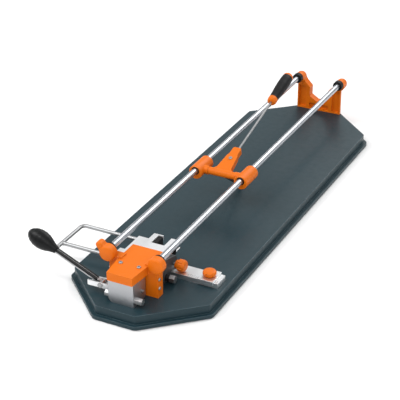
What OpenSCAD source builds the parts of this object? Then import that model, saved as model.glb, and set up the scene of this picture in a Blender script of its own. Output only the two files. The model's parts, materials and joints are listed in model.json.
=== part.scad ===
// Manual tile cutter: a pressed steel bed, two chrome rails, a sliding scoring
// carriage, and a lever-worked breaker in the front head.
// X runs across the bed, +Y along the rails to the rear, +Z up, millimetres.
// The origin is on the floor under the centre of the bed.

/* [Bed] */
// Width of the raised bed
bed_w = 364; // [350:1:400]
// Length of the raised bed
bed_l = 1230; // [1210:1:1260]
// Width of the short straight edge at each end of the bed
bed_end_w = 103; // [96:1:120]
// Length along Y of each cut corner
bed_corner_l = 120; // [110:1:126]
// Height of the tile surface above the floor
bed_z = 33.6; // [33.6:0.1:34]
// Thickness of the pressed sheet
sheet_t = 2.5; // [2:0.1:3]
// How far the skirt stands out round the bed
skirt_out = 9.2; // [7:0.1:11]
// Height of the skirt's top face above the floor
skirt_z = 10.6; // [9:0.1:12]

/* [Rails] */
// Diameter of each guide rail
rail_d = 16; // [16:1:16]
// Distance between the two rail axes
rail_gap = 128; // [128:1:128]
// Height of the rail axes above the floor
rail_z = 132; // [131:0.5:134]

/* [Carriage] */
// Position of the carriage's centre along the rails
carriage_y = -53.5; // [-54:0.5:-53]
// Length of each sleeve
sleeve_l = 69; // [60:1:72]
// Outer radius of each sleeve
sleeve_r = 18.3; // [17.5:0.1:18.5]
// Angle of the scoring handle above the horizontal
handle_a = 14.5; // [12:0.5:18]
// Distance from the pivot to the end of the handle
handle_l = 437; // [437:1:440]
// Radius of the scoring wheel
wheel_r = 11; // [9:0.5:11]

/* [Breaker] */
// Width of the breaker's housing
housing_w = 66; // [60:1:66]
// Angle of the breaker lever above the horizontal
lever_a = 24; // [20:1:26]
// Distance from the lever's pin to the end of its grip
lever_l = 215; // [212:1:225]

/* [Stops] */
// Distance from the scoring line to the bar's right end
bar_right = 168; // [164:1:172]
// Distance of the side stop from the scoring line
stop_x = 137; // [110:1:144]
// Diameter of the side arm's rod
arm_d = 10; // [6:0.5:10]

/* [Hidden] */

// Clearances
fit = 0.05;
bolt_fit = 0.1;
gap = 0.3;

// Bed
half_w = bed_w / 2;
half_l = bed_l / 2;
rim_z = 1.5;
under_z = bed_z - sheet_t;
corner_r = 9;
corner_steps = 4;
foot_h = 4;
strip_h = 1.2;
foot_r = 15;
stiff_w = 30;
stiff_x = 90;
stiff_l = 1040;
stiff_t = 2;
cross_w = 24;
cross_ys = [-430, 0, 430];
foot_ys = [-490, -180, 180, 490];

// Rails
rail_r = rail_d / 2;
rail_x = rail_gap / 2;
rail_y0 = -536;
rail_y1 = 602;

// Front head
boss_r = 20;
boss_y0 = -540;
boss_y1 = -520;
boss_z = 125.5;
lug_r = 9.5;
lug_at = [-83, 143];
seal_r = 14;
cover_z0 = 93;
cover_t = 22;
cover_y0 = -590;
cover_y1 = -455;
pillar_x0 = 31;
pillar_x1 = 64;
pillar_z1 = 118;
pillar_y0 = -525;
pillar_y1 = -502;
pillar_bolt_ys = [-518, -509];
pillar_bolt_x = 48;
cover_screw_x = 24;
cover_screw_y = -541;
side_screw_zs = [58, 82];
side_screw_y = -519;

// Breaker housing
hous_x = housing_w / 2;
hous_y0 = -586;
hous_y1 = -529;
wall = 6;
hous_bolt_y = -577;
hous_bolt_z = 50;

// Side plates that carry the rocker
plate_x0 = 36;
plate_x1 = 46;
rocker_y = -470;
rocker_z = 80;
rocker_pin_r = 5;
foot_bolt_y = -453;
foot_bolt_z = 46;

// Breaker lever
lever_x = -66;
lever_y = -555;
lever_z = 57;
lever_pin_r = 3.5;
chan_x0 = -100;
chan_z0 = 50;
chan_z1 = 63;
chan_floor = 2.5;
lever_hub_r = 6;
chan_t = 3;
chan_in = 9;
grip_d0 = 128;
inlay_d0 = 14;
lever_half = 5.5;
tang_r = 4;
tang_l = 165;

// Rocker and its fork
fork_z0 = 91;
fork_z1 = 101;
fork_y1 = -371;
slot_y = -408;
slot_x = 17.5;
fork_x = 31.5;
plate_half = 34;
pad_y0 = -378;
pad_z = 62;

// Cross bar, its sliders and the side arm
bar_left = -118;
bar_y0 = -428;
bar_y1 = -385;
bar_z1 = 47;
bar_mid = (bar_y0 + bar_y1) / 2;
slider_w = 40;
slider_t = 4;
arm_r = arm_d / 2;
arm_near_y = -441;
arm_far_y = -344;
arm_z = 55;
arm_x_end = -249;
arm_x_in = -50;
arm_bend = 12;
guide_x0 = -92;
guide_z0 = 48;
guide_z1 = 62;

// Knobs
knob_r = 16.5;
knob_h = 13.5;
stud_r = 4;
bar_knob_r = 15;
bar_knob_y = -414;
bar_knob_z = 62.7;
bar_knob_x0 = 53;
bar_knob_l = 26;

// Carriage and handle
bush_r = 11;
bush_l = 18;
sleeve_z = 127;
pivot_y = -62;
pivot_z = 128;
pivot_r = 5;
knuckle_r = 10;
knuckle_x = 37;
pin_x = 50;
yoke_x = 20;
yoke_tip_x = 11.5;
yoke_tip_y = 98;
yoke_neck_y = 78;
yoke_z0 = -8;
yoke_z1 = 8;
screw_y = 53;
rod_r = 3;
rod_off = -1;
rod_y0 = 58;
collar_y = 310;
grip_y0 = 326;
grip_y1 = 423;
wheel_y = 112;
wheel_drop = pivot_z - bed_z - strip_h - wheel_r - gap;
wheel_arm_w = 13;
wheel_half = 2;
cheek_x0 = 2.3;
cheek_x1 = 4.5;
axle_r = 2.5;

// Rear bracket
rear_y0 = 591;
rear_y1 = 613;
rear_x = 68;
rear_boss_r = 15.5;
rear_boss_z = 127;
rear_boss_y0 = 585;
rear_boss_y1 = 622;
buffer_r = 14;
buffer_l = 14;

orange = [0.93, 0.42, 0.12];
steel = [0.72, 0.73, 0.75];
silver = [0.80, 0.81, 0.82];
chrome = [0.86, 0.87, 0.89];
slate = [0.16, 0.22, 0.26];
black = [0.08, 0.08, 0.08];

// ---- Helpers ----

// Points of an arc round c, from angle a0 to a1
function arc(c, r, a0, a1, n) =
    [for (i = [0:n]) c + r * [cos(a0 + (a1 - a0) * i / n), sin(a0 + (a1 - a0) * i / n)]];

// The bed's outline grown by g: an octagon with rounded corners
function bed_corners(g) =
    let (
        k = g * tan(22.5),
        x1 = half_w + g,
        y1 = half_l + g,
        ex = bed_end_w / 2 + k,
        sy = half_l - bed_corner_l + k
    )
    [[ex, y1], [x1, sy], [x1, -sy], [ex, -y1], [-ex, -y1], [-x1, -sy], [-x1, sy], [-ex, y1]];

// Round corner i of a closed polygon with radius r
function round_corner(p, i, r) =
    let (
        n = len(p),
        a = p[(i + n - 1) % n] - p[i],
        b = p[(i + 1) % n] - p[i],
        ua = a / norm(a),
        ub = b / norm(b),
        half = acos(ua * ub) / 2,
        t = r / tan(half),
        c = p[i] + (ua + ub) / norm(ua + ub) * r / sin(half),
        q0 = p[i] + ua * t - c,
        q1 = p[i] + ub * t - c,
        a0 = atan2(q0.y, q0.x),
        sweep = ((atan2(q1.y, q1.x) - a0 + 540) % 360) - 180
    )
    arc(c, r, a0, a0 + sweep, corner_steps);

module bed_outline(g, r) {
    p = bed_corners(g);
    polygon([for (i = [0:7]) each round_corner(p, i, r)]);
}

// A cylinder along X, from x0 to x1
module bar_x(r, x0, x1, y, z, sides = 48) {
    translate([x0, y, z]) rotate([0, 90, 0]) cylinder(h = x1 - x0, r = r, $fn = sides);
}

// A cylinder along Y, from y0 to y1
module bar_y(r, y0, y1, x, z, sides = 64) {
    translate([x, y1, z]) rotate([90, 0, 0]) cylinder(h = y1 - y0, r = r, $fn = sides);
}

// A box from one corner to the other
module block(a, b) {
    translate(a) cube(b - a);
}

// A flat shape drawn in Y and Z, extruded along X from x0 to x1
module slab_x(x0, x1) {
    translate([x0, 0, 0]) rotate([90, 0, 90]) linear_extrude(x1 - x0) children();
}

// A flat shape drawn in X and Z, extruded along Y from y0 to y1
module slab_y(y0, y1) {
    translate([0, y1, 0]) rotate([90, 0, 0]) linear_extrude(y1 - y0) children();
}

module both_sides() {
    children();
    mirror([1, 0, 0]) children();
}

// A round solid along Y with radii taken from [distance, radius] pairs
module turned_y(profile, sides = 72) {
    rotate([-90, 0, 0])
        rotate_extrude($fn = sides)
            polygon(concat([[0, profile[0].x]], [for (q = profile) [q.y, q.x]],
                [[0, profile[len(profile) - 1].x]]));
}

// A clamping knob along +Z with eight finger flutes and a domed top
module knob(r, h) {
    flutes = 8;
    difference() {
        rotate_extrude($fn = 72)
            polygon([[0, 0], [r * 0.72, 0], [r * 0.8, h * 0.2], [r, h * 0.3], [r, h * 0.72],
                [r * 0.88, h * 0.9], [r * 0.6, h], [0, h]]);
        for (i = [0:flutes - 1])
            rotate(i * 360 / flutes)
                translate([r * 1.13, 0, h * 0.28]) cylinder(h = h, r = r * 0.24, $fn = 24);
        translate([0, 0, -1]) cylinder(h = h * 0.6 + 1, r = stud_r, $fn = 48);
    }
}

// The places of the bolts that come up through the bed: [x, y, how high they reach]
base_bolt_places = [
    for (s = [-1, 1]) each [
        [s * pillar_bolt_x, pillar_bolt_ys[0], 60],
        [s * pillar_bolt_x, pillar_bolt_ys[1], 60],
        [s * (plate_x0 + plate_x1) / 2, -478, 60],
        [s * 112, bar_mid, 44],
        [s * 20, -536, 37.6]
    ]
];

module base_bolt_shafts(r) {
    for (p = base_bolt_places)
        translate([p.x, p.y, under_z - 1]) cylinder(h = p.z - under_z + 1, r = r, $fn = 32);
}

rear_screw_places = [for (s = [-1, 1]) each [[s * 50, 604], [s * 18, 602]]];

module rear_screw_shafts(r) {
    for (p = rear_screw_places)
        translate([p.x, p.y, under_z - 8]) cylinder(h = 30, r = r, $fn = 32);
}

// ---- Bed ----

module base_pan() {
    color(slate) difference() {
        union() {
            translate([0, 0, rim_z]) linear_extrude(bed_z - rim_z) bed_outline(0, corner_r);
            translate([0, 0, rim_z]) linear_extrude(skirt_z - rim_z)
                bed_outline(skirt_out, corner_r + skirt_out);
        }
        translate([0, 0, -1]) linear_extrude(under_z + 1)
            bed_outline(-sheet_t, corner_r - sheet_t);
        translate([0, 0, -1]) linear_extrude(skirt_z - sheet_t + 1)
            bed_outline(skirt_out - sheet_t, corner_r + skirt_out - sheet_t);
        base_bolt_shafts(3 + bolt_fit);
        rear_screw_shafts(2.5 + bolt_fit);
    }
}

// Two long box tubes and three cross tubes, welded under the bed
module base_stiffeners() {
    z0 = foot_h;
    color(slate) {
        both_sides() difference() {
            block([stiff_x - stiff_w / 2, -stiff_l / 2, z0],
                [stiff_x + stiff_w / 2, stiff_l / 2, under_z]);
            block([stiff_x - stiff_w / 2 + stiff_t, -stiff_l / 2 - 1, z0 + stiff_t],
                [stiff_x + stiff_w / 2 - stiff_t, stiff_l / 2 + 1, under_z - stiff_t]);
        }
        for (y = cross_ys) difference() {
            block([-stiff_x + stiff_w / 2, y - cross_w / 2, z0],
                [stiff_x - stiff_w / 2, y + cross_w / 2, under_z]);
            block([-stiff_x, y - cross_w / 2 + stiff_t, z0 + stiff_t],
                [stiff_x, y + cross_w / 2 - stiff_t, under_z - stiff_t]);
        }
    }
}

module rubber_feet() {
    color(black) {
        for (s = [-1, 1], y = foot_ys)
            translate([s * stiff_x, y, 0]) cylinder(h = foot_h, r = foot_r, $fn = 48);
        cylinder(h = foot_h, r = foot_r, $fn = 48);
    }
}

// The low ridge that the tile snaps over
module breaking_strip() {
    color(steel) slab_y(-383, -300)
        polygon([[-3, bed_z], [3, bed_z], [0.8, bed_z + strip_h], [-0.8, bed_z + strip_h]]);
}

module base_bolts() {
    color(steel) {
        base_bolt_shafts(3);
        for (p = base_bolt_places)
            translate([p.x, p.y, under_z - 4.5]) cylinder(h = 4.5, r = 5.8, $fn = 6);
    }
}

// ---- Front head ----

module front_bracket() {
    color(orange) difference() {
        union() {
            // Cover over the breaker
            translate([0, 0, cover_z0]) linear_extrude(cover_t)
                polygon([[-33, cover_y0], [33, cover_y0], [40, -520], [40, cover_y1],
                    [-40, cover_y1], [-40, -520]]);
            both_sides() {
                block([pillar_x0, pillar_y0, bed_z], [pillar_x1, pillar_y1, pillar_z1]);
                // Boss that closes the end of the rail
                translate([rail_x, boss_y0, boss_z]) turned_y([[0, boss_r - 5], [1.2, boss_r - 2.2],
                    [4, boss_r], [boss_y1 - boss_y0, boss_r]]);
            }
            // Pinch lug on the outside of the left boss
            translate([lug_at.x, boss_y0 + 2, lug_at.y]) turned_y([[0, lug_r - 3],
                [2.5, lug_r], [boss_y1 - boss_y0 - 2, lug_r]]);
            slab_y(boss_y0 + 4, boss_y1 - 0.5)
                polygon([[-89, 136.5], [-77, 149.5], [-56, 134], [-74, 114]]);
        }
        both_sides() {
            bar_y(rail_r + fit, rail_y0 - gap, pillar_y1 + 1, rail_x, rail_z);
            // Clearance behind the boss for the black seal
            bar_y(seal_r + 0.4, boss_y1, pillar_y1 + 1, rail_x, rail_z);
        }
        base_bolt_shafts(3 + bolt_fit);
    }
}

module bracket_screws() {
    color(steel) both_sides() {
        translate([cover_screw_x, cover_screw_y, cover_z0 + cover_t])
            screw_head(5);
        for (z = side_screw_zs)
            translate([pillar_x1, side_screw_y, z]) rotate([0, 90, 0]) screw_head(4.5);
    }
}

// A low round head with a hexagon socket, standing on z = 0
module screw_head(r) {
    difference() {
        rotate_extrude($fn = 40)
            polygon([[0, 0], [r, 0], [r, r * 0.35], [r * 0.8, r * 0.6], [0, r * 0.6]]);
        translate([0, 0, r * 0.2]) cylinder(h = r, r = r * 0.5, $fn = 6);
    }
}

module breaker_housing() {
    round_r = 12;
    color(silver) difference() {
        slab_y(hous_y0, hous_y1)
            polygon(concat([[hous_x, bed_z], [hous_x, cover_z0], [-hous_x, cover_z0]],
                arc([-hous_x + round_r, bed_z + round_r], round_r, 180, 270, 6)));
        // Open at the top and at the rear, where the rocker comes in
        block([-hous_x + wall, hous_y0 + wall, bed_z + 4], [hous_x - wall, 0, cover_z0 + 1]);
        // Window for the lever's tongue
        block([-hous_x - 1, lever_y - chan_in, 45], [0, lever_y + chan_in, 80]);
        bar_x(4 + fit, -hous_x - 1, hous_x + 1, hous_bolt_y, hous_bolt_z);
        base_bolt_shafts(3 + bolt_fit);
    }
}

// Clamp bolt across the housing, with a long hexagon at each end
module housing_bolt() {
    color(steel) {
        bar_x(4, -hous_x, hous_x, hous_bolt_y, hous_bolt_z);
        bar_x(8.6, hous_x, hous_x + 2, hous_bolt_y, hous_bolt_z);
        bar_x(8.8, hous_x + 2, hous_x + 20, hous_bolt_y, hous_bolt_z, 6);
        bar_x(8.4, -hous_x - 12, -hous_x, hous_bolt_y, hous_bolt_z, 6);
        bar_x(4.6, hous_x, hous_x + 6, -546, 57, 6);
    }
}

// A side plate on the right of the head; the left one is its mirror image
module side_plate() {
    difference() {
        slab_x(plate_x0, plate_x1)
            polygon([[-488, bed_z], [-433, bed_z], [-433, 50], [-398, 50], [-398, 74], [-404, 80],
                [-452, 92], [-482, 92], [-488, 86]]);
        bar_x(rocker_pin_r + fit, 0, 100, rocker_y, rocker_z);
        base_bolt_shafts(3 + bolt_fit);
    }
}

module side_plate_left() {
    color(silver) difference() {
        mirror([1, 0, 0]) side_plate();
        bar_x(arm_r + 0.1, -100, 0, arm_near_y, arm_z);
    }
}

module side_plate_right() {
    color(silver) difference() {
        side_plate();
        bar_x(stud_r + fit, 0, 100, bar_knob_y, bar_knob_z);
        bar_x(4 + fit, 0, 100, foot_bolt_y, foot_bolt_z);
    }
}

module foot_bolt() {
    color(steel) {
        bar_x(4, plate_x0 - 4, plate_x1 + 11, foot_bolt_y, foot_bolt_z);
        bar_x(10, plate_x1 + 11, plate_x1 + 25, foot_bolt_y, foot_bolt_z, 6);
        // Small screw in the same plate
        bar_x(2.6, plate_x1, plate_x1 + 3, -480, 52, 32);
    }
}

module foot_bolt_spacer() {
    color(black) difference() {
        bar_x(8.5, plate_x1, plate_x1 + 11, foot_bolt_y, foot_bolt_z);
        bar_x(4 + fit, 0, 100, foot_bolt_y, foot_bolt_z);
    }
}

module rocker_pin() {
    color(steel) bar_x(rocker_pin_r, -plate_x1, plate_x1, rocker_y, rocker_z);
}

// Clevis for the lever, an upright channel on the left of the housing
module lever_channel() {
    out = chan_in + chan_t;
    color(silver) difference() {
        block([chan_x0, lever_y - out, chan_z0], [-hous_x, lever_y + out, chan_z1]);
        block([chan_x0 - 1, lever_y - chan_in, chan_z0 + chan_floor],
            [0, lever_y + chan_in, chan_z1 + 1]);
        // No floor under the hub and the tongue
        block([chan_x0 + 12, lever_y - chan_in, chan_z0 - 1], [0, lever_y + chan_in, chan_z1]);
        bar_y(lever_pin_r + fit, lever_y - 20, lever_y + 20, lever_x, lever_z, 48);
    }
}

module lever_pin() {
    out = chan_in + chan_t;
    color(steel) {
        bar_y(lever_pin_r, lever_y - out, lever_y + out, lever_x, lever_z, 48);
        bar_y(6, lever_y - out - 2.5, lever_y - out, lever_x, lever_z, 48);
        bar_y(6, lever_y + out, lever_y + out + 2.5, lever_x, lever_z, 48);
    }
}

// Coil spring that lifts the fork again
spring_r = 7;
spring_wire = 0.9;
spring_turns = 7;
spring_y = -450;
spring_top = 72.2;
spring_steps = 14;
spring_sides = 6;

function coil_ring(i) =
    let (
        n = spring_turns * spring_steps,
        t = i * 360 / spring_steps,
        z = bed_z + spring_wire + (spring_top - bed_z - 2 * spring_wire) * i / n
    )
    [for (k = [0:spring_sides - 1])
        let (w = k * 360 / spring_sides, r = spring_r + spring_wire * cos(w))
        [r * cos(t), spring_y + r * sin(t), z + spring_wire * sin(w)]];

module return_spring() {
    n = spring_turns * spring_steps;
    s = spring_sides;
    points = [for (i = [0:n]) each coil_ring(i)];
    sides = [for (i = [0:n - 1], k = [0:s - 1])
        [i * s + k, i * s + (k + 1) % s, (i + 1) * s + (k + 1) % s, (i + 1) * s + k]];
    ends = [[for (k = [s - 1:-1:0]) k], [for (k = [0:s - 1]) n * s + k]];
    color(steel) polyhedron(points, concat(sides, ends));
}

// ---- Rails ----

module rail() {
    color(chrome) bar_y(rail_r, rail_y0, rail_y1, rail_x, rail_z, 96);
}

module rail_left() { mirror([1, 0, 0]) rail(); }

module rail_right() { rail(); }

module ring_y(r, y0, y1) {
    difference() {
        bar_y(r, y0, y1, rail_x, rail_z);
        bar_y(rail_r + fit, y0 - 1, y1 + 1, rail_x, rail_z);
    }
}

module rail_seals() {
    color(black) both_sides() ring_y(seal_r, boss_y1, boss_y1 + 5);
}

module rail_buffers() {
    color(black) both_sides() ring_y(buffer_r, rear_boss_y0 - buffer_l, rear_boss_y0);
}

// ---- Rear bracket ----

module rear_bracket() {
    web_z = 62;
    color(orange) difference() {
        union() {
            intersection() {
                slab_y(rear_y0, rear_y1)
                    polygon([[-rear_x, bed_z], [rear_x, bed_z], [rear_x, 122], [52, 132], [44, 118],
                        [29, 103], [29, 75], [8, web_z], [-8, web_z], [-29, 75], [-29, 103],
                        [-44, 118], [-52, 132], [-rear_x, 122]]);
                // The outer corners follow the cut corners of the bed
                translate([0, 0, bed_z]) linear_extrude(120)
                    polygon([[-rear_x, rear_y0], [rear_x, rear_y0], [rear_x, 598.5],
                        [54, rear_y1], [-54, rear_y1], [-rear_x, 598.5]]);
            }
            both_sides()
                translate([rail_x, rear_boss_y0, rear_boss_z]) turned_y([[0, rear_boss_r - 0.8],
                    [1, rear_boss_r], [24, rear_boss_r], [29.5, rear_boss_r - 2],
                    [33.5, rear_boss_r - 5.5], [36, rear_boss_r - 10], [37, 2]]);
        }
        // Recessed panel in the front of each post
        both_sides()
            block([41, rear_y0 - 1, bed_z + 5], [64, rear_y0 + 7, 106]);
        block([-30, rear_y0 - 1, bed_z + 5], [30, rear_y0 + 8, 54]);
        both_sides() bar_y(rail_r + fit, rear_boss_y0 - 1, rail_y1 + 1, rail_x, rail_z);
        rear_screw_shafts(2.5 + bolt_fit);
    }
}

module rear_bracket_screws() {
    color(steel) {
        for (p = rear_screw_places)
            translate([p.x, p.y, under_z - 4]) cylinder(h = 4, r = 4.6, $fn = 6);
        for (p = rear_screw_places)
            translate([p.x, p.y, under_z - 1]) cylinder(h = bed_z + 5 - under_z + 1, r = 2.5, $fn = 32);
    }
}

// ---- Cross bar, guide and clamp ----

module cross_bar() {
    color(silver) difference() {
        block([bar_left, bar_y0, bed_z], [bar_right, bar_y1, bar_z1]);
        base_bolt_shafts(3 + bolt_fit);
    }
}

// Block on the left side plate that the side arm slides in
module arm_guide() {
    color(silver) difference() {
        union() {
            block([guide_x0, -455, bed_z], [-plate_x1, -430, guide_z1]);
            block([guide_x0, -432, guide_z0], [-plate_x1, arm_far_y - 6, guide_z1]);
            translate([0, arm_far_y, 0]) block([guide_x0, -7, guide_z0], [-plate_x1, 7, guide_z1]);
        }
        for (y = [arm_near_y, arm_far_y]) bar_x(arm_r + 0.1, -100, 0, y, arm_z);
    }
}

// A saddle that slides on the cross bar, centred on x = 0
module saddle() {
    difference() {
        block([-slider_w / 2, bar_y0 - slider_t, 38], [slider_w / 2, bar_y1 + slider_t, 51]);
        block([-slider_w, bar_y0 - gap, 0], [slider_w, bar_y1 + gap, bar_z1 + gap]);
        translate([0, bar_mid, 0]) cylinder(h = 60, r = stud_r + fit, $fn = 48);
    }
}

module side_stop() {
    color(silver) translate([stop_x, 0, 0]) saddle();
}

module stop_knob() {
    color(orange) translate([stop_x, bar_mid, 51 + gap]) knob(knob_r, knob_h);
}

module stop_knob_stud() {
    color(steel) translate([stop_x, bar_mid, bar_z1 + gap + 0.1])
        cylinder(h = 51 - bar_z1 + knob_h * 0.6 - 0.2, r = stud_r, $fn = 48);
}

module bar_knob() {
    color(orange) translate([bar_knob_x0, bar_knob_y, bar_knob_z]) rotate([0, 90, 0])
        knob(bar_knob_r, bar_knob_l);
}

module bar_knob_stud() {
    color(steel) bar_x(stud_r, plate_x0 - 1, bar_knob_x0 + bar_knob_l * 0.6 - 0.1, bar_knob_y, bar_knob_z);
}

// ---- Side arm ----

// Bent rod: a far prong, an end bar and a welded near prong
module side_arm() {
    cx = arm_x_end + arm_bend;
    cy = arm_far_y - arm_bend;
    color(chrome) {
        union() {
            bar_x(arm_r, cx, arm_x_in, arm_far_y, arm_z);
            translate([cx, cy, arm_z]) rotate(90) rotate_extrude(angle = 90, $fn = 64)
                translate([arm_bend, 0]) circle(r = arm_r, $fn = 48);
            bar_y(arm_r, -460, cy, arm_x_end, arm_z, 48);
            bar_x(arm_r, arm_x_end, arm_x_in, arm_near_y, arm_z);
        }
    }
}

// ---- Carriage ----

module carriage_body() {
    y0 = carriage_y - sleeve_l / 2;
    y1 = carriage_y + sleeve_l / 2;
    color(orange) both_sides() difference() {
        union() {
            translate([rail_x, y0, sleeve_z]) turned_y([[0, sleeve_r - 1.5], [1.5, sleeve_r],
                [sleeve_l - 1.5, sleeve_r], [sleeve_l, sleeve_r - 1.5]]);
            // Boss that holds the handle's shaft
            bar_x(knuckle_r + 1.5, knuckle_x + gap, rail_x - 4, pivot_y, pivot_z);
        }
        bar_y(bush_r + 0.02, y0 - 1, y1 + 1, rail_x, rail_z);
        bar_x(pivot_r + fit, 0, pin_x + gap, pivot_y, pivot_z);
    }
}

module carriage_bushes() {
    y0 = carriage_y - sleeve_l / 2;
    y1 = carriage_y + sleeve_l / 2;
    color(black) both_sides() {
        for (y = [y0 + 1, y1 - bush_l - 1]) difference() {
            bar_y(bush_r, y, y + bush_l, rail_x, rail_z);
            bar_y(rail_r + 0.08, y - 1, y + bush_l + 1, rail_x, rail_z);
        }
    }
}

module handle_pin() {
    color(steel) bar_x(pivot_r, -pin_x, pin_x, pivot_y, pivot_z);
}

// Places its children in the handle's own frame: origin on the pin, +Y along the handle
module handle_frame() {
    translate([0, pivot_y, pivot_z]) rotate([handle_a, 0, 0]) children();
}

module handle_yoke() {
    neck = yoke_tip_x;
    color(orange) handle_frame() difference() {
        union() {
            translate([0, 0, yoke_z0]) linear_extrude(yoke_z1 - yoke_z0)
                polygon([[-yoke_x - 6, 0], [yoke_x + 6, 0], [yoke_x + 4, 9], [yoke_x, 13],
                    [neck + 3, yoke_neck_y - 14], [neck, yoke_neck_y - 6], [neck, yoke_tip_y - 4],
                    [neck - 3, yoke_tip_y], [3 - neck, yoke_tip_y], [-neck, yoke_tip_y - 4],
                    [-neck, yoke_neck_y - 6], [-neck - 3, yoke_neck_y - 14], [-yoke_x, 13],
                    [-yoke_x - 4, 9]]);
            bar_x(knuckle_r, -knuckle_x, knuckle_x, 0, 0);
        }
        bar_x(pivot_r + fit, -60, 60, 0, 0);
        bar_y(rod_r + fit, rod_y0, yoke_tip_y + 1, 0, rod_off, 48);
        translate([0, screw_y, yoke_z0 - 1]) cylinder(h = 30, r = 2.6, $fn = 32);
    }
}

module yoke_screw() {
    color(steel) handle_frame() translate([0, screw_y, 0]) {
        translate([0, 0, yoke_z1]) screw_head(5);
        translate([0, 0, -15.8]) cylinder(h = yoke_z1 + 15.9, r = 2.5, $fn = 32);
    }
}

module handle_rod() {
    color(chrome) handle_frame() bar_y(rod_r, rod_y0 + 0.5, grip_y1 - 4, 0, rod_off, 64);
}

module handle_sleeve(profile) {
    handle_frame() translate([0, 0, rod_off]) difference() {
        turned_y(profile);
        bar_y(rod_r + fit, 0, grip_y1 - 3, 0, 0, 48);
    }
}

module handle_collar() {
    color(orange) handle_sleeve([[collar_y, 8], [collar_y + 2, 11.5], [collar_y + 7, 13],
        [grip_y0, 13]]);
}

module handle_grip() {
    color(black) handle_sleeve([[grip_y0, 12.6], [grip_y0 + 8, 12.8], [grip_y0 + 34, 14.6],
        [grip_y0 + 60, 16], [grip_y0 + 84, 16], [grip_y1, 15]]);
}

module handle_cap() {
    color(orange) handle_frame() translate([0, 0, rod_off])
        turned_y([[grip_y1, 15], [grip_y1 + 6, 14.4], [grip_y1 + 11, 11], [handle_l, 5]]);
}

// Sloping arm that carries the wheel below the yoke, with a foot the screw holds
module wheel_arm() {
    a = -atan(wheel_drop / wheel_y);
    l = norm([wheel_y, wheel_drop]);
    w = wheel_arm_w / 2;
    fork_l = wheel_r + 4;
    foot_x = cheek_x1 + 2;
    color(black) translate([0, pivot_y, pivot_z]) difference() {
        union() {
            rotate([a, 0, 0]) slab_x(-cheek_x1, cheek_x1)
                polygon(concat([[knuckle_r + 0.3, w], [knuckle_r + 0.3, -w]],
                    arc([l, 0], w, -90, 90, 16)));
            rotate([handle_a, 0, 0]) slab_x(-foot_x, foot_x)
                polygon([[10.5, yoke_z0 + 3], [62, yoke_z0 + 3], [62, -14], [38, -28], [12, -16]]);
        }
        // Seat against the underside of the yoke
        rotate([handle_a, 0, 0]) block([-20, -20, yoke_z0], [20, yoke_tip_y + 5, 40]);
        rotate([handle_a, 0, 0]) translate([0, screw_y, -16]) cylinder(h = 14, r = 2.6, $fn = 32);
        // Fork for the wheel
        rotate([a, 0, 0]) block([-cheek_x0, l - fork_l, -20], [cheek_x0, l + 20, 20]);
        rotate([a, 0, 0]) bar_x(axle_r + fit, -20, 20, l, 0);
    }
}

module wheel_axle() {
    color(steel) bar_x(axle_r, -cheek_x1, cheek_x1, pivot_y + wheel_y, pivot_z - wheel_drop);
}

module scoring_wheel() {
    color(steel) translate([0, pivot_y + wheel_y, pivot_z - wheel_drop]) rotate([0, 90, 0])
        rotate_extrude($fn = 96)
            polygon([[axle_r + fit, -wheel_half], [wheel_r - 3, -wheel_half], [wheel_r, -0.15],
                [wheel_r, 0.15], [wheel_r - 3, wheel_half], [axle_r + fit, wheel_half]]);
}

// ---- Breaker ----

module breaker_rocker() {
    color(silver) difference() {
        union() {
            bar_x(11, -plate_half, plate_half, rocker_y, rocker_z);
            // Cross plate and the two arms of the fork
            block([-plate_half, -451, fork_z0], [plate_half, slot_y, fork_z1]);
            both_sides() {
                block([slot_x, slot_y - 1, fork_z0], [fork_x, fork_y1, fork_z1]);
                block([slot_x + 1.5, pad_y0, pad_z + 14], [fork_x - 1.5, fork_y1, fork_z0 + 1]);
            }
            // Lip round the end of the black block
            block([-fork_x, fork_y1, fork_z0], [-5.6, fork_y1 + 4, fork_z1]);
            slab_x(-20, 20) polygon([[rocker_y, 72], [-430, 74], [-422, 92], [-450, 92],
                [rocker_y, 91]]);
            // Tail that the lever's tongue lifts
            slab_x(-22, 22) polygon([[rocker_y, 91], [-484, 87], [-560, 71], [-560, 64.5],
                [-550, 66], [-484, 69], [rocker_y, 69]]);
            bar_x(4, -25.5, 25.5, -555, 62.6, 40);
        }
        bar_x(rocker_pin_r + fit, -100, 100, rocker_y, rocker_z);
    }
}

// Small screws in the ends of the cross plate
module rocker_screws() {
    color(steel) both_sides() bar_x(3.4, plate_half, plate_x0 - gap, -434, 96, 32);
}

module press_pads() {
    color(black) {
        // Foot under each arm
        both_sides() block([slot_x + 1.5, pad_y0, pad_z], [fork_x - 1.5, fork_y1, pad_z + 14]);
        // Block beside the scoring line, on the left arm
        block([-slot_x, -405, 74], [-5.6, fork_y1, 98.5]);
    }
}

// Places its children in the lever's frame: origin on its pin, -X along the arm
module lever_frame() {
    translate([lever_x, lever_y, lever_z]) rotate([0, lever_a, 0]) children();
}

module breaker_lever() {
    strip_d1 = grip_d0 + 6;
    color(steel) {
        difference() {
            union() {
                bar_y(lever_hub_r, lever_y - 8, lever_y + 8, lever_x, lever_z, 48);
                // Tongue inside the housing
                block([lever_x, lever_y - 8, 49], [-16, lever_y + 8, 57]);
                lever_frame() {
                    block([-strip_d1, -lever_half, -4.5], [0, lever_half, 4.5]);
                    bar_x(tang_r, -tang_l, -grip_d0 + 10, 0, 0);
                }
            }
            lever_frame() block([-strip_d1 - 0.5, -8, -1], [-inlay_d0, 8, 6]);
            bar_y(lever_pin_r + fit, lever_y - 20, lever_y + 20, lever_x, lever_z, 48);
        }
        // Rib between the two halves of the black strip
        lever_frame() block([0.1 - strip_d1, -0.7, -1.5], [-inlay_d0 - 0.1, 0.7, 4.1]);
    }
}

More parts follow.
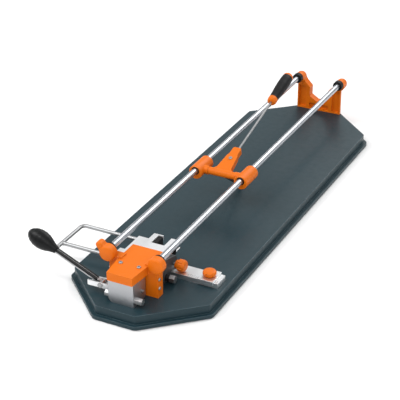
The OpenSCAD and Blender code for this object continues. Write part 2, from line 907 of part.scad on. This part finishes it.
// Black strip on top of the lever, in two halves
module lever_inlay() {
    color(black) lever_frame() difference() {
        block([0.1 - grip_d0 - 6, -lever_half, -1], [-inlay_d0 - 0.1, lever_half, 4.5]);
        block([-grip_d0 - 10, -0.7, -2], [0, 0.7, 6]);
    }
}

module lever_grip() {
    color(black) lever_frame() mirror([1, 0, 0]) rotate([0, 0, -90]) difference() {
        turned_y([[grip_d0 + 6, 8.8], [grip_d0 + 12, 10.2], [lever_l - 67, 13], [lever_l - 58, 17],
            [lever_l - 48, 20.4], [lever_l - 37, 22], [lever_l - 25, 21.2], [lever_l - 14, 17.6],
            [lever_l - 6, 12.4], [lever_l - 1.5, 7], [lever_l, 3]]);
        bar_y(tang_r + fit, 0, tang_l + 1, 0, 0, 48);
    }
}

base_pan();
base_stiffeners();
rubber_feet();
breaking_strip();
base_bolts();
front_bracket();
bracket_screws();
breaker_housing();
housing_bolt();
side_plate_left();
side_plate_right();
foot_bolt();
foot_bolt_spacer();
rocker_pin();
lever_channel();
lever_pin();
return_spring();
rail_left();
rail_right();
rail_seals();
rail_buffers();
rear_bracket();
rear_bracket_screws();
cross_bar();
arm_guide();
carriage_body();
carriage_bushes();
handle_pin();
handle_yoke();
yoke_screw();
handle_rod();
handle_collar();
handle_grip();
handle_cap();
wheel_arm();
wheel_axle();
scoring_wheel();
breaker_rocker();
rocker_screws();
press_pads();
breaker_lever();
lever_inlay();
lever_grip();
side_arm();
side_stop();
bar_knob();
bar_knob_stud();
stop_knob();
stop_knob_stud();
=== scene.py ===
import json
from math import cos, pi, radians, sin

import bmesh
import bpy
from mathutils import Matrix, Vector


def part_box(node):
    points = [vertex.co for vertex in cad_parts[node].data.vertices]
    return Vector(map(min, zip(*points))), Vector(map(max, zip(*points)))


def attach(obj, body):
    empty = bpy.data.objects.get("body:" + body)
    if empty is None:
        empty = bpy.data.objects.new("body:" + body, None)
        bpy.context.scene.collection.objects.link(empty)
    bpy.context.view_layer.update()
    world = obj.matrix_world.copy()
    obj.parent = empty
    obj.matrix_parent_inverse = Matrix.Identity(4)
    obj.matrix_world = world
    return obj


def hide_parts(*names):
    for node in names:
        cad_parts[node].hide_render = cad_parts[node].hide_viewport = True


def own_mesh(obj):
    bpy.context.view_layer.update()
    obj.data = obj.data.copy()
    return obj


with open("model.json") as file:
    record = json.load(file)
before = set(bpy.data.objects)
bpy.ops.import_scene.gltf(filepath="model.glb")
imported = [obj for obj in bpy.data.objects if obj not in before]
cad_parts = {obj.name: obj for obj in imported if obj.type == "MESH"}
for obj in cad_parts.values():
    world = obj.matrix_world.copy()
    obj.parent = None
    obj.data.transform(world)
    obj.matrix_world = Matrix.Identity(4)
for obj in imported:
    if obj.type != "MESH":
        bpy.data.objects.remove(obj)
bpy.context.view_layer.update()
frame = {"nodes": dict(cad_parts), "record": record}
nodes = frame["nodes"]
slots = {s["node"]: s["material_slot"] for s in frame["record"]["subparts"]}
body_of = {n: b for b, names in frame["record"]["behaviour"]["bodies"].items() for n in names}
scene = bpy.context.scene

# Lengths are in metres, and scales of noise are per metre.
WELD_DISTANCE = 2e-6            # corners closer than this are one corner
FLAT_ANGLE = radians(0.8)       # faces that meet at less than this are one face
ROUND_ANGLE = radians(28)       # edges sharper than this are rounded
ROUND_SEGMENTS = 3
PRONG_Y = -0.441                # the side arm's near prong
ARM_WELD = 0.0011               # half the thickness of its weld bead

# ---- Materials ----


def new_material(name, color, metallic, roughness, coat=0.0, coat_roughness=0.1, specular=0.5):
    """A material with a Principled shader, as material, node tree, shader and coordinates."""
    mat = bpy.data.materials.new(name)
    mat.use_nodes = True
    tree = mat.node_tree
    shader = tree.nodes["Principled BSDF"]
    shader.inputs["Base Color"].default_value = (*color, 1)
    shader.inputs["Metallic"].default_value = metallic
    shader.inputs["Roughness"].default_value = roughness
    shader.inputs["Coat Weight"].default_value = coat
    shader.inputs["Coat Roughness"].default_value = coat_roughness
    shader.inputs["Specular IOR Level"].default_value = specular
    coords = tree.nodes.new("ShaderNodeTexCoord")
    return mat, tree, shader, coords.outputs["Object"]


def noise(tree, where, scale, detail=4.0, stretch=None):
    """Noise of the given scale, stretched along the axes with a small factor in stretch."""
    if stretch:
        mapping = tree.nodes.new("ShaderNodeMapping")
        mapping.inputs["Scale"].default_value = stretch
        tree.links.new(where, mapping.inputs["Vector"])
        where = mapping.outputs["Vector"]
    tex = tree.nodes.new("ShaderNodeTexNoise")
    tex.inputs["Scale"].default_value = scale
    tex.inputs["Detail"].default_value = detail
    tree.links.new(where, tex.inputs["Vector"])
    return tex.outputs["Fac"]


def ramp(tree, value, low, high, start=0.3, end=0.7):
    """A colour or grey that goes from low to high as the value goes from start to end."""
    node = tree.nodes.new("ShaderNodeValToRGB")
    for element, at, tone in zip(node.color_ramp.elements, (start, end), (low, high)):
        element.position = at
        element.color = (*tone, 1) if isinstance(tone, tuple) else (tone, tone, tone, 1)
    tree.links.new(value, node.inputs["Fac"])
    return node.outputs["Color"]


def mix(tree, factor, low, high):
    """A blend from low to high by the factor, each a colour or an output of a node."""
    node = tree.nodes.new("ShaderNodeMix")
    node.data_type = "RGBA"
    tree.links.new(factor, node.inputs["Factor"])
    for value, socket in ((low, node.inputs["A"]), (high, node.inputs["B"])):
        if isinstance(value, tuple):
            socket.default_value = (*value, 1)
        else:
            tree.links.new(value, socket)
    return node.outputs["Result"]


def bump(tree, shader, height, strength, distance):
    """Small relief in the shader's normal."""
    node = tree.nodes.new("ShaderNodeBump")
    node.inputs["Strength"].default_value = strength
    node.inputs["Distance"].default_value = distance
    tree.links.new(height, node.inputs["Height"])
    tree.links.new(node.outputs["Normal"], shader.inputs["Normal"])


def edge_wear_and_highlight(tree, radius):
    """White along edges and corners, where a rounded normal leaves the true one; it marks worn
    paint, and on the bed a painted highlight.
    """
    rounded_normal = tree.nodes.new("ShaderNodeBevel")
    rounded_normal.samples = 4
    rounded_normal.inputs["Radius"].default_value = radius
    geometry = tree.nodes.new("ShaderNodeNewGeometry")
    dot = tree.nodes.new("ShaderNodeVectorMath")
    dot.operation = "DOT_PRODUCT"
    tree.links.new(rounded_normal.outputs["Normal"], dot.inputs[0])
    tree.links.new(geometry.outputs["Normal"], dot.inputs[1])
    return ramp(tree, dot.outputs["Value"], low=1.0, high=0.0, start=0.80, end=0.985)


def darker(color, share):
    """The colour times a share below 1."""
    return tuple(c * share for c in color)


def painted(name, color, worn_and_highlight_color, roughness, grain, coat=0.0, specular=0.5, wear_and_highlight_radius=0.0018):
    """Paint over metal: faint mottling, fine relief and lighter edges in patches, as worn paint
    and on the bed as a painted highlight.
    """
    mat, tree, shader, where = new_material(
        name, color, metallic=0.0, roughness=roughness, coat=coat, coat_roughness=0.22,
        specular=specular)
    mottling = noise(tree, where, scale=14, detail=3)
    base = mix(tree, mottling, darker(color, 0.93), color)
    # Edge mask broken into patches: worn paint, and on the bed a painted highlight along the
    # edges.
    patchy_wear_and_highlight = tree.nodes.new("ShaderNodeMath")
    patchy_wear_and_highlight.operation = "MULTIPLY"
    tree.links.new(edge_wear_and_highlight(tree, wear_and_highlight_radius), patchy_wear_and_highlight.inputs[0])
    patches = noise(tree, where, scale=25, detail=3)
    tree.links.new(ramp(tree, patches, low=0.25, high=1.0), patchy_wear_and_highlight.inputs[1])
    tree.links.new(mix(tree, patchy_wear_and_highlight.outputs["Value"], base, worn_and_highlight_color), shader.inputs["Base Color"])
    smears = noise(tree, where, scale=60)
    tree.links.new(ramp(tree, smears, roughness - 0.05, roughness + 0.07),
                   shader.inputs["Roughness"])
    bump(tree, shader, noise(tree, where, grain, detail=2), strength=0.25, distance=0.00012)
    return mat


def metal(name, color, roughness, grain, strength, spread, stretch=None, depth=0.0001):
    """Bare or plated metal with its grain in colour, roughness and bump."""
    mat, tree, shader, where = new_material(name, color, metallic=1.0, roughness=roughness)
    streaks = noise(tree, where, grain, detail=5, stretch=stretch)
    tree.links.new(mix(tree, streaks, darker(color, 0.86), color), shader.inputs["Base Color"])
    tree.links.new(ramp(tree, streaks, roughness - spread / 2, roughness + spread),
                   shader.inputs["Roughness"])
    bump(tree, shader, streaks, strength, depth)
    return mat


def plastic(name, color, roughness, grain, strength, specular):
    """Moulded plastic or rubber with a fine grain."""
    mat, tree, shader, where = new_material(
        name, color, metallic=0.0, roughness=roughness, specular=specular)
    mottling = noise(tree, where, scale=35, detail=3)
    tree.links.new(mix(tree, mottling, darker(color, 0.88), color), shader.inputs["Base Color"])
    smears = noise(tree, where, scale=90)
    tree.links.new(ramp(tree, smears, roughness - 0.06, roughness + 0.06),
                   shader.inputs["Roughness"])
    bump(tree, shader, noise(tree, where, grain, detail=2), strength, distance=0.0001)
    return mat


# For each slot: the kind of material and its values. Colours are linear red, green and blue.
ORANGE = (0.72, 0.150, 0.003)
SLOT_LOOKS = {
    # The bed's light edge colour, 1.4 mm wide, is a painted highlight along its rounded edges.
    "bed_paint": (painted, dict(
        color=(0.013, 0.035, 0.045), worn_and_highlight_color=(0.17, 0.24, 0.27), roughness=0.40, grain=700,
        coat=0.12, specular=0.22, wear_and_highlight_radius=0.0014)),
    "orange_casting": (painted, dict(
        color=ORANGE, worn_and_highlight_color=(0.82, 0.25, 0.03), roughness=0.42, grain=500, specular=0.2)),
    "orange_plastic": (plastic, dict(
        color=ORANGE, roughness=0.42, grain=1500, strength=0.2, specular=0.25)),
    "chrome": (metal, dict(
        color=(0.50, 0.52, 0.55), roughness=0.30, grain=300, stretch=(1, 0.05, 1),
        strength=0.12, spread=0.08)),
    "cast_silver": (metal, dict(
        color=(0.52, 0.53, 0.55), roughness=0.40, grain=600, strength=0.5, spread=0.14,
        depth=0.0002)),
    "light_cast": (metal, dict(
        color=(0.86, 0.87, 0.88), roughness=0.50, grain=700, strength=0.4, spread=0.12,
        depth=0.00015)),
    "dark_cast": (painted, dict(
        color=(0.045, 0.048, 0.052), worn_and_highlight_color=(0.14, 0.145, 0.15), roughness=0.42, grain=700)),
    "aluminium": (metal, dict(
        color=(0.88, 0.89, 0.90), roughness=0.38, grain=500, stretch=(0.08, 1, 1),
        strength=0.25, spread=0.1)),
    "plated_steel": (metal, dict(
        color=(0.42, 0.425, 0.43), roughness=0.36, grain=900, strength=0.25, spread=0.12)),
    "tool_steel": (metal, dict(
        color=(0.34, 0.34, 0.35), roughness=0.3, grain=900, strength=0.2, spread=0.1)),
    "black_metal": (painted, dict(
        color=(0.012, 0.012, 0.013), worn_and_highlight_color=(0.05, 0.05, 0.05), roughness=0.4, grain=800,
        specular=0.3)),
    "black_plastic": (plastic, dict(
        color=(0.005, 0.0055, 0.006), roughness=0.36, grain=1200, strength=0.2, specular=0.2)),
    "black_rubber": (plastic, dict(
        color=(0.007, 0.007, 0.0075), roughness=0.5, grain=900, strength=0.5, specular=0.2)),
}
looks = {slot: kind(slot, **values) for slot, (kind, values) in SLOT_LOOKS.items()}

for name, node in nodes.items():
    for i in range(len(node.data.materials)):
        node.data.materials[i] = looks[slots[name]]

# ---- Rounded copies of the castings and pressings ----


def add_piece(name, bm, slot, body, smooth=True):
    """An object of the visual model, made from a bmesh, that rides on a body."""
    mesh = bpy.data.meshes.new(name)
    bm.to_mesh(mesh)
    bm.free()
    mesh.materials.append(looks[slot])
    for attribute in [a.name for a in mesh.attributes if a.name in ("custom_normal", "UVMap")]:
        mesh.attributes.remove(mesh.attributes[attribute])
    for polygon in mesh.polygons:
        polygon.use_smooth = smooth
        polygon.material_index = 0
    piece = bpy.data.objects.new(name, mesh)
    scene.collection.objects.link(piece)
    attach(piece, body)
    return piece


def welded_copy(name):
    """A bmesh of a CAD node with its corners joined."""
    bm = bmesh.new()
    bm.from_mesh(nodes[name].data)
    bmesh.ops.remove_doubles(bm, verts=bm.verts, dist=WELD_DISTANCE)
    return bm


def rounded(name, width):
    """A copy of a CAD node with its sharp edges rounded, shown in its place."""
    bm = welded_copy(name)
    bmesh.ops.dissolve_limit(bm, angle_limit=FLAT_ANGLE, verts=bm.verts, edges=bm.edges)
    piece = add_piece(name + "_rounded", bm, slots[name], body_of[name])
    bevel = piece.modifiers.new("edges", "BEVEL")
    bevel.width = width
    bevel.segments = ROUND_SEGMENTS
    bevel.limit_method = "ANGLE"
    bevel.angle_limit = ROUND_ANGLE
    bevel.use_clamp_overlap = True
    bevel.harden_normals = True
    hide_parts(name)


ROUND_WIDTHS = {
    "base_pan": 0.0014, "front_bracket": 0.0025, "rear_bracket": 0.002, "carriage_body": 0.0025,
    "handle_yoke": 0.002, "breaker_housing": 0.0015, "breaker_rocker": 0.0015,
    "side_plate_right": 0.001, "side_plate_left": 0.001, "arm_guide": 0.002,
    "cross_bar": 0.0006, "side_stop": 0.0008, "lever_channel": 0.0006, "breaker_lever": 0.0005,
    "housing_bolt": 0.0004, "foot_bolt": 0.0004, "wheel_arm": 0.0008, "press_pads": 0.0006,
}
for name, width in ROUND_WIDTHS.items():
    rounded(name, width)

# ---- Small details ----


def add_box(bm, low, high):
    """A closed box between two corners."""
    corners = [Vector((x, y, z)) for x in (low[0], high[0]) for y in (low[1], high[1])
               for z in (low[2], high[2])]
    verts = [bm.verts.new(c) for c in corners]
    for face in ((0, 1, 3, 2), (4, 6, 7, 5), (0, 4, 5, 1),
                 (2, 3, 7, 6), (0, 2, 6, 4), (1, 5, 7, 3)):
        bm.faces.new([verts[i] for i in face])


def add_ring(bm, centre, axis, radius, thick):
    """A ring about an axis through its centre, of round section with thick as its radius."""
    around, section = 40, 10        # corners along the ring and round its section
    turn = Vector((0, 0, 1)).rotation_difference(Vector(axis)).to_matrix()
    rings = []
    for i in range(around):
        a = 2 * pi * i / around
        ring = []
        for k in range(section):
            b = 2 * pi * k / section
            r = radius + thick * cos(b)
            ring.append(bm.verts.new(Vector(centre) + turn @ Vector(
                (r * cos(a), r * sin(a), thick * sin(b)))))
        rings.append(ring)
    for i in range(around):
        for k in range(section):
            j, m = (i + 1) % around, (k + 1) % section
            bm.faces.new((rings[i][k], rings[j][k], rings[j][m], rings[i][m]))


def bar_scale():
    """Plain marks every 5 mm along the front of the bar's top."""
    (_, y0, _), (x1, _, top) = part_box("cross_bar")
    bm = bmesh.new()
    step, margin, inset = 0.005, 0.004, 0.002
    knob_x = 0.082                  # the marks end here, just outside the bar's knob
    width, proud, sunk = 0.0006, 0.00012, 0.0003
    count = int((x1 - knob_x - margin) / step)
    for i in range(count):
        x = x1 - margin - i * step
        length = 0.011 if i % 2 == 0 else 0.007
        add_box(bm, (x - width / 2, y0 + inset, top - sunk),
                (x + width / 2, y0 + inset + length, top + proud))
    add_piece("bar_scale", bm, "black_metal", "base", smooth=False)


def arm_weld():
    """A weld bead where the side arm's near prong meets its end bar."""
    (x0, _, z0), (_, _, z1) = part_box("side_arm")
    rod = (z1 - z0) / 2
    bm = bmesh.new()
    add_ring(bm, (x0 + 2 * rod, PRONG_Y, z0 + rod), (1, 0, 0), rod, ARM_WELD)
    add_piece("arm_weld", bm, "plated_steel", "side_arm")


def squashed_spring():
    """The return spring, copied from its CAD node onto the base."""
    bm = welded_copy("return_spring")
    spring = add_piece("return_spring_coil", bm, "plated_steel", "base")
    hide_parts("return_spring")
    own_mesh(spring)


bar_scale()
arm_weld()
squashed_spring()

# ---- Studio and camera ----


def area_light(name, at, target, size, power):
    """A rectangular lamp, its sizes in metres and its power in watts."""
    data = bpy.data.lights.new(name, "AREA")
    data.shape = "RECTANGLE"
    data.size, data.size_y = size
    data.energy = power
    lamp = bpy.data.objects.new(name, data)
    lamp.location = at
    lamp.rotation_euler = (Vector(target) - Vector(at)).to_track_quat("-Z", "Y").to_euler()
    scene.collection.objects.link(lamp)


def add_sky():
    """A grey surround that is darker at the horizon than above."""
    world = bpy.data.worlds.new("studio")
    scene.world = world
    world.use_nodes = True
    tree = world.node_tree
    background = tree.nodes["Background"]
    coords = tree.nodes.new("ShaderNodeTexCoord")
    split = tree.nodes.new("ShaderNodeSeparateXYZ")
    tree.links.new(coords.outputs["Generated"], split.inputs["Vector"])
    sky = ramp(tree, split.outputs["Z"], low=0.42, high=0.9, start=0.0, end=0.6)
    tree.links.new(sky, background.inputs["Color"])
    background.inputs["Strength"].default_value = 0.85


def add_floor():
    """A wide, nearly white floor, 0.2 mm under the rubber feet."""
    bm = bmesh.new()
    bmesh.ops.create_grid(bm, x_segments=2, y_segments=2, size=12)
    mesh = bpy.data.meshes.new("floor")
    bm.to_mesh(mesh)
    bm.free()
    floor = bpy.data.objects.new("floor", mesh)
    floor.location.z = -0.0002
    scene.collection.objects.link(floor)
    mat, tree, shader, where = new_material(
        "floor", (0.86, 0.86, 0.86), metallic=0.0, roughness=0.85, specular=0.1)
    clouds = noise(tree, where, scale=1.5, detail=2)
    tone = mix(tree, clouds, (0.85, 0.85, 0.85), (0.87, 0.87, 0.87))
    tree.links.new(tone, shader.inputs["Base Color"])
    mesh.materials.append(mat)


def add_camera():
    """The photo's camera: azimuth 27.1 degrees, elevation 28.8 degrees."""
    place = Vector((1.3153, -2.7574, 1.7012))
    right = Vector((0.8911, 0.4538, -0.0035)).normalized()
    back = Vector((0.3990, -0.7798, 0.4824)).normalized()
    up = back.cross(right).normalized()
    data = bpy.data.cameras.new("camera")
    data.lens = 118.7
    data.sensor_width = 36
    data.clip_end = 50
    camera = bpy.data.objects.new("camera", data)
    turn = Matrix((right, up, back)).transposed().to_4x4()
    camera.matrix_world = Matrix.Translation(place) @ turn
    scene.collection.objects.link(camera)
    scene.camera = camera


area_light("key", at=(-2.6, -1.4, 3.2), target=(0, 0, 0), size=(2.2, 2.2), power=82)
area_light("fill", at=(2.8, -2.6, 2.2), target=(0, 0, 0.1), size=(2.5, 2.5), power=28)
area_light("back", at=(0.5, 3.2, 2.6), target=(0, 0, 0.1), size=(3.0, 1.2), power=55)
area_light("strip", at=(0.1, -2.2, 3.2), target=(0, -0.5, 0), size=(1.8, 0.25), power=34)
add_sky()
add_floor()
add_camera()
scene.view_settings.view_transform = "Standard"
